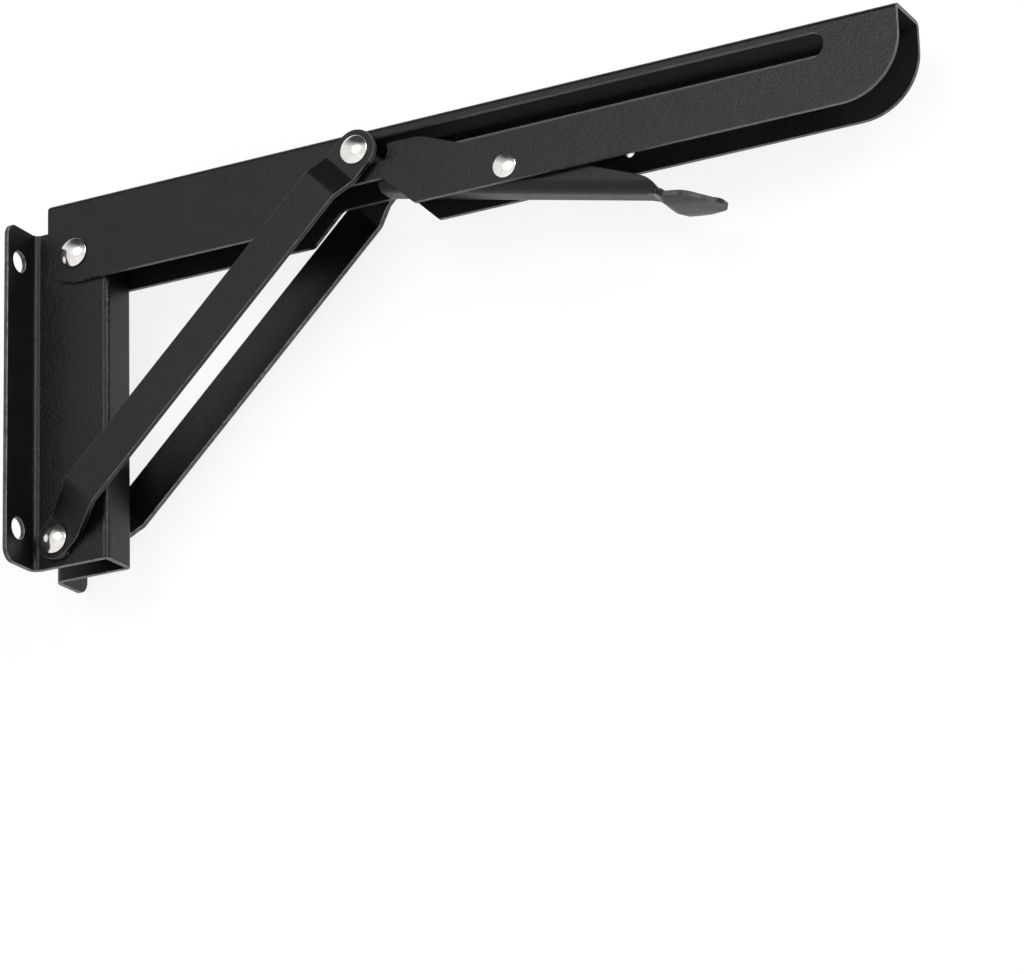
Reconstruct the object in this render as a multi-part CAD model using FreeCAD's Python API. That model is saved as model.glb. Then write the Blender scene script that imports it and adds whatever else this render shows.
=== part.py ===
import FreeCAD
import Part
import math
import os

# Drop leaf table bracket
# A wall plate carries a folding arm and a pair of strut bars. The struts' upper ends slide in a slot
# of the arm, and a squeeze lever inside the arm holds them there while the arm stands out level.
# Millimetres. +X leads away from the wall, +Y runs across the bracket and +Z is up.
# The origin lies on the wall, in the middle of the four wall screw holes.

# Sheet thicknesses
STEEL = 1.5
BAR_STEEL = 2.0

# Wall plate, a hat section whose channel stands out from two flanges
PLATE_HEIGHT = 115.0
PLATE_WIDTH = 47.0
PLATE_CORNER = 4.5
CHANNEL_WIDTH = 14.6
CHANNEL_REACH = 29.0
FLANGE_BEND = 2.0
CHANNEL_BEND = 2.0
WALL_HOLE_RADIUS = 3.5
WALL_HOLE_ACROSS = 33.6
WALL_HOLE_UP = 91.0

# Pivots of the wall plate, from the wall and from the plate's middle
ARM_PIVOT = (17.4, 47.8)
FOOT_PIVOT = (10.4, -48.7)

# Arm, an upturned U whose heights count from its pivot's level
ARM_LENGTH = 300.0
ARM_WIDTH = 18.0
ARM_HEEL = 10.2
ARM_TOP = 18.7
ARM_LOW = -9.7
ARM_BEND = 2.0
TIP_RADIUS = 19.4
NOTCH_START = 80.0
NOTCH_END = 125.6
NOTCH_SLOPE = 10.8
NOTCH_TOP = 0.9
NOTCH_CORNER = 2.5
NOTCH_LIP = 1.2
HEEL_CORNER = 1.5
TABLE_HOLE_RADIUS = 2.6
TABLE_HOLE_PLACES = (32.0, 76.0, 277.0)
ANCHOR_PLACE = (193.0, -2.4)
ANCHOR_RADIUS = 1.5

# Slide slot of the arm, and where the slide pin stands in it while the arm is out
PIN_PLACE = (106.9, 10.8)
SLOT_HALF_HEIGHT = 4.35
SLOT_END = 261.7
PIN_END_GAP = 0.3

# Strut bars, measured along the line from the foot pivot to the slide pin
BAR_HALF_WIDTH = 6.9
FOOT_HALF_WIDTH = 6.5
BAR_SPREAD = 14.0
FOOT_GAP = 0.2
HEAD_GAP = 1.45
FOOT_FLAT = 5.5
HEAD_FLAT = 8.0
JOGGLE_ANGLE = 26.0
JOGGLE_BEND = 2.0

# Release lever, a U open at its top, in its own frame: a runs to the tail and b stands up
LEVER_PIVOT = (157.9, -4.7)
LEVER_TILT = 12.8
LEVER_HALF_WIDTH = 6.4
LEVER_BOTTOM = -7.1
LEVER_BEND = 4.2
LEVER_FRONT = -46.3
NOSE_CORNER = (-44.2, 8.6)
NOSE_CREST = (-35.5, 10.4)
NOSE_BACK = (-32.2, 10.4)
NOSE_BEVEL = 1.0
CREST_ROUNDING = 3.0
BACK_ROUNDING = 2.0
WALL_TAIL = (50.3, -2.55)
TAIL_ROUNDING = 9.0
WALL_END = 53.2
SEAT_PLACE = (-49.3, 5.3)
SEAT_RADIUS = 4.35

# Finger tab of the lever: it steps down from the lever's floor, then lifts a little to its tip.
# Across, its two sides fold up a little. Its outline's corners are (a, half width, rounding).
TAB_START = 46.0
TAB_STEP_START = 50.4
TAB_STEP_END = 55.8
TAB_DROP = 3.9
TAB_LIFT = 5.0
TAB_BEND = 4.0
TAB_FLAT_HALF_WIDTH = 4.5
TAB_BLANK_HALF_WIDTH = 11.0
TAB_SIDE_RISE = 1.4
TAB_NECK = (50.8, 4.8, 2.5)
TAB_SHOULDER = (55.2, 10.0, 4.0)
TAB_SIDE = (63.5, 9.9, 8.0)
TAB_TIP = (73.4, 2.9, 3.6)

# Rivets: shank radius, head radius and head height. Rim and crown are shares of the head.
ARM_RIVET = (3.0, 5.0, 2.3)
FOOT_RIVET = (3.0, 4.8, 2.2)
SLIDE_RIVET = (3.0, 4.8, 2.2)
LEVER_RIVET = (2.5, 4.0, 1.3)
HEAD_RIM = 0.42
HEAD_CROWN = 0.66
TURNING_FIT = 0.05
HEAD_CLEARANCE = 0.15

# Slide bushes: each runs in a slot, and its flange keeps the bar's head off the arm
BUSH_RADIUS = 4.2
BUSH_FLANGE_RADIUS = 5.8
BUSH_INNER_END = 7.0
BUSH_GAP = 0.15

# Lever spring, a torsion coil on the lever's rivet
WIRE_RADIUS = 0.5
COIL_RADIUS = 3.4
COIL_HALF_LENGTH = 1.5
COIL_WHOLE_TURNS = 2
WIRE_FLATS = 6
PRESS_LEG_REACH = 18.0
ANCHOR_LEG_END = 9.5
LEG_GAP = 0.05
HOOK_BEND = 1.5

# Two points nearer than this are one point
SAME_POINT = 1e-6

# Worked out from the sizes above
HALF_CHANNEL = CHANNEL_WIDTH / 2
HALF_ARM = ARM_WIDTH / 2
ARM_END = ARM_LENGTH - ARM_HEEL
PIN_X = ARM_PIVOT[0] + PIN_PLACE[0]
PIN_Z = ARM_PIVOT[1] + PIN_PLACE[1]
STRUT_LENGTH = math.hypot(PIN_X - FOOT_PIVOT[0], PIN_Z - FOOT_PIVOT[1])
STRUT_ANGLE = math.degrees(math.atan2(PIN_Z - FOOT_PIVOT[1], PIN_X - FOOT_PIVOT[0]))
FOOT_INNER = HALF_CHANNEL + FOOT_GAP
HEAD_INNER = HALF_ARM + HEAD_GAP
LEVER_X = ARM_PIVOT[0] + LEVER_PIVOT[0]
LEVER_Z = ARM_PIVOT[1] + LEVER_PIVOT[1]

X_AXIS = FreeCAD.Vector(1, 0, 0)
Y_AXIS = FreeCAD.Vector(0, 1, 0)
Z_AXIS = FreeCAD.Vector(0, 0, 1)


def side_plane(u, v):
    """A point of the X-Z plane."""
    return FreeCAD.Vector(u, 0, v)


def front_plane(u, v):
    """A point of the Y-Z plane."""
    return FreeCAD.Vector(0, u, v)


def floor_plane(u, v):
    """A point of the X-Y plane."""
    return FreeCAD.Vector(u, v, 0)


def rounded_face(corners, plane):
    """A flat face with corners (u, v, radius), where a radius of 0 leaves a corner sharp."""
    starts = []
    ends = []
    arcs = []
    for index, (u, v, radius) in enumerate(corners):
        corner = plane(u, v)
        back = plane(*corners[index - 1][:2]) - corner
        ahead = plane(*corners[(index + 1) % len(corners)][:2]) - corner
        back.normalize()
        ahead.normalize()
        if radius == 0:
            starts.append(corner)
            ends.append(corner)
            arcs.append(None)
            continue
        half_angle = back.getAngle(ahead) / 2
        reach = radius / math.tan(half_angle)
        middle_line = back + ahead
        middle_line.normalize()
        depth = radius / math.sin(half_angle) - radius
        starts.append(corner + back * reach)
        ends.append(corner + ahead * reach)
        arcs.append(corner + middle_line * depth)
    edges = []
    for index, middle in enumerate(arcs):
        if middle is not None:
            edges.append(Part.Arc(starts[index], middle, ends[index]).toShape())
        following = (index + 1) % len(corners)
        if (starts[following] - ends[index]).Length > SAME_POINT:
            edges.append(Part.makeLine(ends[index], starts[following]))
    return Part.Face(Part.Wire(edges))


def across(face, start, end):
    """Extrudes a face of the X-Z plane from one Y to another."""
    moved = face.copy()
    moved.translate(Y_AXIS * start)
    return moved.extrude(Y_AXIS * (end - start))


def cross_hole(x, z, radius, start, end):
    """A round cutter along Y."""
    return Part.makeCylinder(radius, end - start, FreeCAD.Vector(x, start, z), Y_AXIS)


def mirrored(shape):
    """The same shape on the other side of the bracket's middle plane."""
    return shape.mirror(FreeCAD.Vector(0, 0, 0), Y_AXIS)


def bend_section(section, place, heading, centre, degrees):
    """Bends a wire or sheet about a centre. Returns the bend, then the end's section, place and heading."""
    radius_line = place - centre
    axis = radius_line.cross(heading)
    turn = FreeCAD.Rotation(axis, degrees)
    bend = section.revolve(centre, axis, degrees)
    end_section = section.copy()
    end_section.rotate(centre, axis, degrees)
    return bend, end_section, centre + turn.multVec(radius_line), turn.multVec(heading)


def wall_plate():
    """The hat section, with rounded flange corners, four screw holes and two pivot holes."""
    half_plate = PLATE_WIDTH / 2
    inner = HALF_CHANNEL - STEEL
    inner_reach = CHANNEL_REACH - STEEL
    back_bend = FLANGE_BEND + STEEL
    inner_bend = CHANNEL_BEND - STEEL
    section = rounded_face([
        (0, -half_plate, 0),
        (STEEL, -half_plate, 0),
        (STEEL, -HALF_CHANNEL, FLANGE_BEND),
        (CHANNEL_REACH, -HALF_CHANNEL, CHANNEL_BEND),
        (CHANNEL_REACH, HALF_CHANNEL, CHANNEL_BEND),
        (STEEL, HALF_CHANNEL, FLANGE_BEND),
        (STEEL, half_plate, 0),
        (0, half_plate, 0),
        (0, inner, back_bend),
        (inner_reach, inner, inner_bend),
        (inner_reach, -inner, inner_bend),
        (0, -inner, back_bend),
    ], floor_plane)
    section.translate(Z_AXIS * (-PLATE_HEIGHT / 2))
    hat = section.extrude(Z_AXIS * PLATE_HEIGHT)
    half_height = PLATE_HEIGHT / 2
    outline = rounded_face([
        (-half_plate, -half_height, PLATE_CORNER),
        (half_plate, -half_height, PLATE_CORNER),
        (half_plate, half_height, PLATE_CORNER),
        (-half_plate, half_height, PLATE_CORNER),
    ], front_plane).extrude(X_AXIS * CHANNEL_REACH)
    hat = hat.common(outline)
    for y in (-WALL_HOLE_ACROSS / 2, WALL_HOLE_ACROSS / 2):
        for z in (-WALL_HOLE_UP / 2, WALL_HOLE_UP / 2):
            hat = hat.cut(Part.makeCylinder(WALL_HOLE_RADIUS, STEEL, FreeCAD.Vector(0, y, z), X_AXIS))
    hat = hat.cut(cross_hole(*ARM_PIVOT, ARM_RIVET[0], -HALF_CHANNEL, HALF_CHANNEL))
    return hat.cut(cross_hole(*FOOT_PIVOT, FOOT_RIVET[0], -HALF_CHANNEL, HALF_CHANNEL))


def arm_outline():
    """The arm seen from its side: round heel, notch for the strut feet, and a swept tip."""
    heel_radius = -ARM_LOW
    return rounded_face([
        (-ARM_HEEL, ARM_TOP, HEEL_CORNER),
        (-ARM_HEEL, ARM_LOW, heel_radius),
        (NOTCH_START, ARM_LOW, NOTCH_CORNER),
        (NOTCH_START + NOTCH_SLOPE, NOTCH_TOP, NOTCH_CORNER),
        (NOTCH_END - NOTCH_SLOPE, NOTCH_TOP, NOTCH_CORNER),
        (NOTCH_END, ARM_LOW, NOTCH_LIP),
        (ARM_END, ARM_LOW, TIP_RADIUS),
        (ARM_END, ARM_TOP, 0),
    ], side_plane)


def slot_cutter():
    """The slide slot's round-ended prism, through both flanges."""
    start = PIN_PLACE[0] - PIN_END_GAP
    low = PIN_PLACE[1] - SLOT_HALF_HEIGHT
    long_box = Part.makeBox(
        SLOT_END - start, ARM_WIDTH, 2 * SLOT_HALF_HEIGHT, FreeCAD.Vector(start, -HALF_ARM, low)
    )
    near_end = cross_hole(start, PIN_PLACE[1], SLOT_HALF_HEIGHT, -HALF_ARM, HALF_ARM)
    far_end = cross_hole(SLOT_END, PIN_PLACE[1], SLOT_HALF_HEIGHT, -HALF_ARM, HALF_ARM)
    return long_box.fuse([near_end, far_end])


def arm_channel():
    """The arm, folded from one sheet, open below."""
    inner = HALF_ARM - STEEL
    ceiling = ARM_TOP - STEEL
    inner_bend = ARM_BEND - STEEL
    section = rounded_face([
        (-HALF_ARM, ARM_LOW, 0),
        (-HALF_ARM, ARM_TOP, ARM_BEND),
        (HALF_ARM, ARM_TOP, ARM_BEND),
        (HALF_ARM, ARM_LOW, 0),
        (inner, ARM_LOW, 0),
        (inner, ceiling, inner_bend),
        (-inner, ceiling, inner_bend),
        (-inner, ARM_LOW, 0),
    ], front_plane)
    section.translate(X_AXIS * -ARM_HEEL)
    arm = section.extrude(X_AXIS * ARM_LENGTH)
    arm = arm.common(across(arm_outline(), -HALF_ARM, HALF_ARM))
    arm = arm.cut(slot_cutter())
    arm = arm.cut(cross_hole(0, 0, ARM_RIVET[0] + TURNING_FIT, -HALF_ARM, HALF_ARM))
    arm = arm.cut(cross_hole(*LEVER_PIVOT, LEVER_RIVET[0], -HALF_ARM, HALF_ARM))
    arm = arm.cut(cross_hole(*ANCHOR_PLACE, ANCHOR_RADIUS, 0, HALF_ARM))
    for place in TABLE_HOLE_PLACES:
        hole = Part.makeCylinder(TABLE_HOLE_RADIUS, 2 * STEEL, FreeCAD.Vector(place, 0, ceiling - STEEL))
        arm = arm.cut(hole)
    arm.translate(side_plane(*ARM_PIVOT))
    return arm


def joggle_length(rise):
    """How far along the bar a joggle of the given rise reaches."""
    return rise / math.tan(math.radians(JOGGLE_ANGLE))


def bar_section():
    """The near bar seen from its edge: foot, joggle out, long span, joggle in, head."""
    shift = BAR_STEEL * math.tan(math.radians(JOGGLE_ANGLE / 2))
    span_start = FOOT_FLAT + joggle_length(BAR_SPREAD - FOOT_INNER)
    head_start = STRUT_LENGTH - HEAD_FLAT
    span_end = head_start - joggle_length(BAR_SPREAD - HEAD_INNER)
    foot_end = -FOOT_HALF_WIDTH
    head_end = STRUT_LENGTH + BAR_HALF_WIDTH
    tight = JOGGLE_BEND
    wide = JOGGLE_BEND + BAR_STEEL
    return rounded_face([
        (foot_end, -FOOT_INNER, 0),
        (FOOT_FLAT, -FOOT_INNER, wide),
        (span_start, -BAR_SPREAD, tight),
        (span_end, -BAR_SPREAD, tight),
        (head_start, -HEAD_INNER, wide),
        (head_end, -HEAD_INNER, 0),
        (head_end, -HEAD_INNER - BAR_STEEL, 0),
        (head_start + shift, -HEAD_INNER - BAR_STEEL, tight),
        (span_end + shift, -BAR_SPREAD - BAR_STEEL, wide),
        (span_start - shift, -BAR_SPREAD - BAR_STEEL, wide),
        (FOOT_FLAT - shift, -FOOT_INNER - BAR_STEEL, tight),
        (foot_end, -FOOT_INNER - BAR_STEEL, 0),
    ], floor_plane)


def bar_outline():
    """The bar seen from its side, with a round foot that is a little narrower than the round head."""
    widening = FOOT_FLAT + joggle_length(BAR_SPREAD - FOOT_INNER)
    foot_low = side_plane(0, -FOOT_HALF_WIDTH)
    foot_high = side_plane(0, FOOT_HALF_WIDTH)
    head_low = side_plane(STRUT_LENGTH, -BAR_HALF_WIDTH)
    head_high = side_plane(STRUT_LENGTH, BAR_HALF_WIDTH)
    wide_low = side_plane(widening, -BAR_HALF_WIDTH)
    wide_high = side_plane(widening, BAR_HALF_WIDTH)
    return Part.Face(Part.Wire([
        Part.Arc(foot_low, side_plane(-FOOT_HALF_WIDTH, 0), foot_high).toShape(),
        Part.makeLine(foot_high, wide_high),
        Part.makeLine(wide_high, head_high),
        Part.Arc(head_high, side_plane(STRUT_LENGTH + BAR_HALF_WIDTH, 0), head_low).toShape(),
        Part.makeLine(head_low, wide_low),
        Part.makeLine(wide_low, foot_low),
    ]))


def strut_bar():
    """The near strut bar in its place, from the foot pivot up to the slide pin."""
    section = bar_section()
    section.translate(Z_AXIS * -BAR_HALF_WIDTH)
    bar = section.extrude(Z_AXIS * (2 * BAR_HALF_WIDTH))
    bar = bar.common(across(bar_outline(), -BAR_SPREAD - BAR_STEEL, 0))
    bar = bar.cut(cross_hole(0, 0, FOOT_RIVET[0] + TURNING_FIT, -BAR_SPREAD, 0))
    bar = bar.cut(cross_hole(STRUT_LENGTH, 0, SLIDE_RIVET[0], -BAR_SPREAD, 0))
    bar.rotate(FreeCAD.Vector(0, 0, 0), Y_AXIS, -STRUT_ANGLE)
    bar.translate(side_plane(*FOOT_PIVOT))
    return bar


def lever_outline():
    """The lever's walls seen from the side: a blunt nose, a long taper and a rounded tail."""
    return rounded_face([
        (LEVER_FRONT, LEVER_BOTTOM, 0),
        (WALL_END, LEVER_BOTTOM, 0),
        (*WALL_TAIL, TAIL_ROUNDING),
        (*NOSE_BACK, BACK_ROUNDING),
        (*NOSE_CREST, CREST_ROUNDING),
        (*NOSE_CORNER, 0),
        (LEVER_FRONT, NOSE_CORNER[1] - NOSE_BEVEL, 0),
    ], side_plane)


def tab_section():
    """The finger tab's section across: a flat middle whose two sides fold up a little."""
    flat = TAB_FLAT_HALF_WIDTH
    edge = TAB_BLANK_HALF_WIDTH
    floor = LEVER_BOTTOM + STEEL
    section = rounded_face([
        (-edge, LEVER_BOTTOM + TAB_SIDE_RISE, 0),
        (-flat, LEVER_BOTTOM, 0),
        (flat, LEVER_BOTTOM, 0),
        (edge, LEVER_BOTTOM + TAB_SIDE_RISE, 0),
        (edge, floor + TAB_SIDE_RISE, 0),
        (flat, floor, 0),
        (-flat, floor, 0),
        (-edge, floor + TAB_SIDE_RISE, 0),
    ], front_plane)
    section.translate(X_AXIS * TAB_START)
    return section


def tab_plan():
    """The finger tab's outline from above: a short neck and a rounded blade."""
    root_half_width = LEVER_HALF_WIDTH - LEVER_BEND
    half = [(TAB_START, root_half_width, 0), TAB_NECK, TAB_SHOULDER, TAB_SIDE, TAB_TIP]
    near_side = [(a, -width, rounding) for a, width, rounding in half]
    return rounded_face(near_side + half[::-1], floor_plane)


def lever_tab():
    """The finger tab: the lever's floor runs on, steps down and ends in the blade."""
    step_length = TAB_STEP_END - TAB_STEP_START
    down_angle = math.degrees(math.atan2(TAB_DROP, step_length))
    up_angle = down_angle + TAB_LIFT
    down_reach = TAB_BEND * math.tan(math.radians(down_angle / 2))
    up_reach = TAB_BEND * math.tan(math.radians(up_angle / 2))
    section = tab_section()
    place = FreeCAD.Vector(TAB_START, 0, LEVER_BOTTOM + STEEL / 2)
    run = X_AXIS * (TAB_STEP_START - down_reach - TAB_START)
    pieces = [section.extrude(run)]
    section.translate(run)
    place += run

    centre = place - Z_AXIS * TAB_BEND
    bend, section, place, heading = bend_section(section, place, X_AXIS, centre, down_angle)
    pieces.append(bend)
    run = heading * (math.hypot(step_length, TAB_DROP) - down_reach - up_reach)
    pieces.append(section.extrude(run))
    section.translate(run)
    place += run

    centre = place + heading.cross(Y_AXIS) * TAB_BEND
    bend, section, place, heading = bend_section(section, place, heading, centre, up_angle)
    pieces.append(bend)
    pieces.append(section.extrude(heading * (TAB_TIP[0] - TAB_STEP_END)))
    strip = pieces[0].fuse(pieces[1:])
    plan = tab_plan()
    plan.translate(Z_AXIS * (LEVER_BOTTOM - TAB_DROP - STEEL))
    return strip.common(plan.extrude(Z_AXIS * (TAB_DROP + 4 * STEEL)))


def release_lever():
    """The squeeze lever: a U with a round-cornered floor, a seat for the pin and a finger tab."""
    inner = LEVER_HALF_WIDTH - STEEL
    floor = LEVER_BOTTOM + STEEL
    inner_bend = LEVER_BEND - STEEL
    top = NOSE_CREST[1]
    section = rounded_face([
        (-LEVER_HALF_WIDTH, top, 0),
        (-LEVER_HALF_WIDTH, LEVER_BOTTOM, LEVER_BEND),
        (LEVER_HALF_WIDTH, LEVER_BOTTOM, LEVER_BEND),
        (LEVER_HALF_WIDTH, top, 0),
        (inner, top, 0),
        (inner, floor, inner_bend),
        (-inner, floor, inner_bend),
        (-inner, top, 0),
    ], front_plane)
    section.translate(X_AXIS * LEVER_FRONT)
    lever = section.extrude(X_AXIS * (WALL_END - LEVER_FRONT))
    lever = lever.common(across(lever_outline(), -LEVER_HALF_WIDTH, LEVER_HALF_WIDTH))
    lever = lever.cut(cross_hole(*SEAT_PLACE, SEAT_RADIUS, -LEVER_HALF_WIDTH, LEVER_HALF_WIDTH))
    floor_end = Part.makeBox(
        WALL_END - TAB_STEP_START, 2 * TAB_NECK[1], STEEL,
        FreeCAD.Vector(TAB_STEP_START, -TAB_NECK[1], LEVER_BOTTOM)
    )
    lever = lever.cut(floor_end).fuse(lever_tab()).removeSplitter()
    pivot_radius = LEVER_RIVET[0] + TURNING_FIT
    lever = lever.cut(cross_hole(0, 0, pivot_radius, -LEVER_HALF_WIDTH, LEVER_HALF_WIDTH))
    lever.rotate(FreeCAD.Vector(0, 0, 0), Y_AXIS, LEVER_TILT)
    lever.translate(FreeCAD.Vector(LEVER_X, 0, LEVER_Z))
    return lever


def rivet_head(seat, radius, height):
    """A low head on the near side: rim, bevelled dome and flat crown. Its underside stands at -seat."""
    rim_top = -seat - height * HEAD_RIM
    crown = -seat - height
    half_section = Part.makePolygon([
        FreeCAD.Vector(0, -seat, 0),
        FreeCAD.Vector(radius, -seat, 0),
        FreeCAD.Vector(radius, rim_top, 0),
        FreeCAD.Vector(radius * HEAD_CROWN, crown, 0),
        FreeCAD.Vector(0, crown, 0),
        FreeCAD.Vector(0, -seat, 0),
    ])
    return Part.Face(half_section).revolve(FreeCAD.Vector(0, 0, 0), Y_AXIS, 360)


def through_rivet(x, z, sizes, seat):
    """A rivet right across the bracket, with a domed head at each end."""
    shank_radius, head_radius, head_height = sizes
    head = rivet_head(seat, head_radius, head_height)
    shank = Part.makeCylinder(shank_radius, 2 * seat, FreeCAD.Vector(0, -seat, 0), Y_AXIS)
    rivet = shank.fuse([head, mirrored(head)])
    rivet.translate(side_plane(x, z))
    return rivet


def slide_rivet():
    """The near end of the slide pin: its domed head and its neck in the bar's hole."""
    shank_radius, head_radius, head_height = SLIDE_RIVET
    seat = HEAD_INNER + BAR_STEEL
    neck = Part.makeCylinder(shank_radius, BAR_STEEL, FreeCAD.Vector(0, -seat, 0), Y_AXIS)
    rivet = neck.fuse(rivet_head(seat, head_radius, head_height))
    rivet.translate(side_plane(PIN_X, PIN_Z))
    return rivet


def slide_bush():
    """The near bush: its body runs in the slot, and its flange spaces the bar's head from the arm."""
    flange_start = -HEAD_INNER + BUSH_GAP
    flange_end = -HALF_ARM - BUSH_GAP
    flange = cross_hole(0, 0, BUSH_FLANGE_RADIUS, flange_start, flange_end)
    body = cross_hole(0, 0, BUSH_RADIUS, flange_end, -BUSH_INNER_END)
    bore = cross_hole(0, 0, SLIDE_RIVET[0] + TURNING_FIT, flange_start, -BUSH_INNER_END)
    bush = flange.fuse(body).cut(bore)
    bush.translate(side_plane(PIN_X, PIN_Z))
    return bush


def wire_section(place, heading):
    """The spring wire's section, with as many flats as it is drawn with."""
    side_line = heading.cross(Y_AXIS)
    side_line.normalize()
    corners = []
    for index in range(WIRE_FLATS + 1):
        turn = FreeCAD.Rotation(heading, 360 * index / WIRE_FLATS)
        corners.append(place + turn.multVec(side_line) * WIRE_RADIUS)
    return Part.Face(Part.makePolygon(corners))


def tangent_angle(place_x, place_z):
    """How far round the coil from a place's own direction a wire to that place leaves the coil."""
    return math.acos(COIL_RADIUS / math.hypot(place_x, place_z))


def tangent_length(place_x, place_z):
    """How long the straight wire from the coil to a place is, seen from the side."""
    return math.sqrt(place_x ** 2 + place_z ** 2 - COIL_RADIUS ** 2)


def lever_spring():
    """A torsion coil on the lever's rivet. One leg presses on the lever's floor, the other is anchored."""
    anchor_x = ANCHOR_PLACE[0] - LEVER_PIVOT[0]
    hook_height = ANCHOR_PLACE[1] + ANCHOR_RADIUS - WIRE_RADIUS - LEG_GAP
    anchor_z = hook_height - LEVER_PIVOT[1]
    top_angle = math.atan2(anchor_z, anchor_x) + tangent_angle(anchor_x, anchor_z)

    floor_height = LEVER_BOTTOM + STEEL + WIRE_RADIUS + LEG_GAP
    press_angle = math.atan2(floor_height, PRESS_LEG_REACH) - math.radians(LEVER_TILT)
    low_angle = press_angle - tangent_angle(PRESS_LEG_REACH, floor_height)

    # Each half turn of the coil is a flat arc that leans over by its own rise
    y = -COIL_HALF_LENGTH
    place = FreeCAD.Vector(COIL_RADIUS * math.cos(low_angle), y, COIL_RADIUS * math.sin(low_angle))
    heading = FreeCAD.Vector(math.sin(low_angle), 0, -math.cos(low_angle))
    press_length = tangent_length(PRESS_LEG_REACH, floor_height)
    section = wire_section(place, heading)
    pieces = [section.extrude(heading * -press_length)]
    left_to_turn = 360 * (COIL_WHOLE_TURNS + 1) - math.degrees(top_angle - low_angle)
    half_rise = COIL_HALF_LENGTH * 2 / (left_to_turn / 180)
    while left_to_turn > 0:
        centre = FreeCAD.Vector(0, y + half_rise / 2, 0)
        arc = min(180, left_to_turn)
        bend, section, place, heading = bend_section(section, place, heading, centre, arc)
        pieces.append(bend)
        left_to_turn -= 180
        y += half_rise

    # The other leg hooks into the anchor hole, against its upper rim
    turn = heading.getAngle(Y_AXIS)
    leg_length = tangent_length(anchor_x, anchor_z) / math.hypot(heading.x, heading.z)
    run = heading * (leg_length - HOOK_BEND * math.tan(turn / 2))
    pieces.append(section.extrude(run))
    section.translate(run)
    inward = Y_AXIS - heading * heading.y
    inward.normalize()
    centre = place + run + inward * HOOK_BEND
    hook, section, place, heading = bend_section(section, place + run, heading, centre, math.degrees(turn))
    pieces.append(hook)
    pieces.append(section.extrude(heading * (ANCHOR_LEG_END - place.y)))
    spring = pieces[0].fuse(pieces[1:])
    spring.translate(FreeCAD.Vector(LEVER_X, 0, LEVER_Z))
    return spring


def build():
    """Every piece by its name."""
    near_bar = strut_bar()
    near_slide_rivet = slide_rivet()
    near_bush = slide_bush()
    arm_seat = HALF_ARM + HEAD_CLEARANCE
    foot_seat = FOOT_INNER + BAR_STEEL + HEAD_CLEARANCE
    return {
        "wall_plate": wall_plate(),
        "arm_channel": arm_channel(),
        "strut_bar_near": near_bar,
        "strut_bar_far": mirrored(near_bar),
        "release_lever": release_lever(),
        "lever_spring": lever_spring(),
        "arm_pivot_rivet": through_rivet(*ARM_PIVOT, ARM_RIVET, arm_seat),
        "strut_foot_rivet": through_rivet(*FOOT_PIVOT, FOOT_RIVET, foot_seat),
        "lever_pivot_rivet": through_rivet(LEVER_X, LEVER_Z, LEVER_RIVET, HALF_ARM),
        "slide_rivet_near": near_slide_rivet,
        "slide_rivet_far": mirrored(near_slide_rivet),
        "slide_bush_near": near_bush,
        "slide_bush_far": mirrored(near_bush),
    }


os.makedirs("parts", exist_ok=True)
for name, shape in build().items():
    shape.exportStep(f"parts/{name}.step")
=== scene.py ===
"""Dresses the folding table bracket: black powder coated sheet, nickel rivets, and a plain pale studio."""

import logging
import math
from dataclasses import dataclass, field
from enum import Enum

import bmesh
import bpy
from mathutils import Euler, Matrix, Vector


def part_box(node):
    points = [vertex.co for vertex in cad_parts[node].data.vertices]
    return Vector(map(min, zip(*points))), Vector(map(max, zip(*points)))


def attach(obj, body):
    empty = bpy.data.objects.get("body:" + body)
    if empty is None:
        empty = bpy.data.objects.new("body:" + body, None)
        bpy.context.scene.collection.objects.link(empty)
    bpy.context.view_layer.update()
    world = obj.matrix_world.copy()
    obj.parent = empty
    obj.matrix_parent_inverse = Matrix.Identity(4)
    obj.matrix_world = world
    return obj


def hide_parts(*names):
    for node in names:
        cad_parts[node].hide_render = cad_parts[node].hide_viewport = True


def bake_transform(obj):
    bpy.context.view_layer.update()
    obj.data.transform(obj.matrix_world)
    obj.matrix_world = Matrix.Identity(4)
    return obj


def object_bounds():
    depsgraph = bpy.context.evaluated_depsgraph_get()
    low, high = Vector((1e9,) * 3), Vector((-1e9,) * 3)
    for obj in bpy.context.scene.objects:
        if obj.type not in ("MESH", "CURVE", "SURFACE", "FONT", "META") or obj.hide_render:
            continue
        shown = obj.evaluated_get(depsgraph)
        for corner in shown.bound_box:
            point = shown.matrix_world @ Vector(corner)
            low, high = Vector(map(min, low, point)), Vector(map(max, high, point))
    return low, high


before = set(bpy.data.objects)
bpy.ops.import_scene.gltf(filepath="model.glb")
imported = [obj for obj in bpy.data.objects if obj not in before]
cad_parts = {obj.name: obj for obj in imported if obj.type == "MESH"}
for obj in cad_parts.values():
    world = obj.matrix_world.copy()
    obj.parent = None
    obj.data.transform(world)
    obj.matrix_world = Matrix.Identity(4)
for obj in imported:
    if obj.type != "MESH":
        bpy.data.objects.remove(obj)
CAD_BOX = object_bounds()

logging.basicConfig(level=logging.INFO, format="%(message)s")
LOG = logging.getLogger("bracket")

IMAGE_SIZE = (1024, 974)
MM = 0.001

# The spring's hook: its height above the lever's rivet, and how far it bends before its end
HOOK_HEIGHT = 3.25 * MM
HOOK_DEPTH = 3.6 * MM

# Mesh attributes: a fold's inner faces, where powder lies thin and matt, and rounded cut edges, which the
# paint gives a painted highlight
RECESS = "recess"
EDGE = "cut_edge"

# How round edges and corners are cut: rows of faces on an edge, points on a wire's bend
EDGE_SEGMENTS = 3
BEND_POINTS = 6
GROWN_SHARP_FROM = math.radians(40)


class Side(Enum):
    """Which side of the bracket a piece stands on: the near side faces the camera."""

    NEAR = -1
    FAR = 1


# Finishes


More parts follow.
